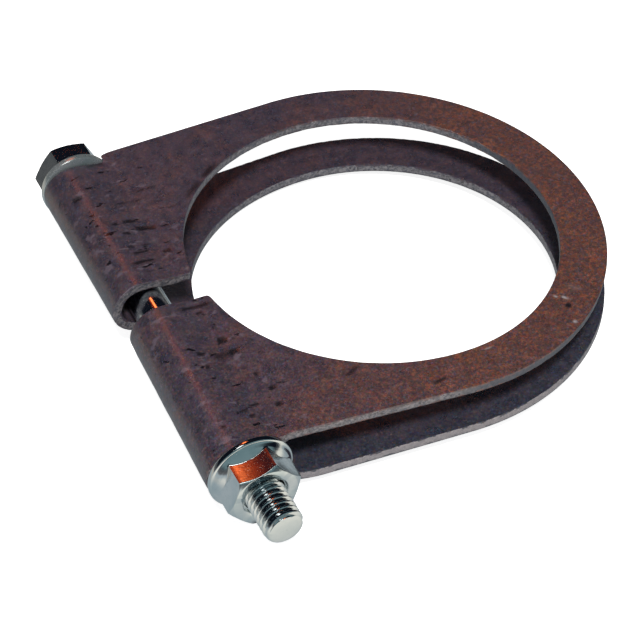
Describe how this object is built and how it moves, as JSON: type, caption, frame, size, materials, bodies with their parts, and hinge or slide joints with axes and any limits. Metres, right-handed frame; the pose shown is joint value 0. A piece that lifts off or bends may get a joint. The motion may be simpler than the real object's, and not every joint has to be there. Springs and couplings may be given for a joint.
{
  "type": "pipe clamp",
  "caption": "Folded D-shaped steel strap clamp for a round pipe, closed by a hex bolt, plain washer and hex flange nut.",
  "frame": {"origin": "centre of the clamp's bounding box", "axes": "+Y along the bolt towards its hex head, +X from the bolt towards the crown of the ring, +Z along the pipe, out of the flat upper leaf"},
  "size_m": [0.109, 0.1116, 0.0216],
  "materials": {
    "strap_steel": "mill scale with light rust, bare sheared edges",
    "bolt_zinc": "bright zinc plated",
    "washer_zinc": "bright zinc plated",
    "nut_zinc": "bright zinc plated"
  },
  "bodies": {
    "strap": {"clamp_strap": "strap_steel"},
    "bolt": {"hex_bolt": "bolt_zinc"},
    "washer": {"plain_washer": "washer_zinc"},
    "nut": {"hex_flange_nut": "nut_zinc"}
  },
  "joints": [
    {"name": "bolt_turn", "type": "hinge", "parent": "strap", "child": "bolt", "pos_m": [-0.04584, 0.00495, 0.00221], "axis": [0, 1, 0], "range_deg": [0, 2880]},
    {"name": "nut_travel", "type": "slide", "parent": "strap", "child": "nut", "axis": [0, -1, 0], "range_m": [0, 0.01005]},
    {"name": "washer_turn", "type": "hinge", "parent": "bolt", "child": "washer", "pos_m": [-0.04584, 0.04875, 0.00221], "axis": [0, 1, 0], "continuous": true}
  ],
  "couplings": [
    {"joint": "nut_travel", "follows": "bolt_turn", "m_per_rad": 0.00019894}
  ]
}
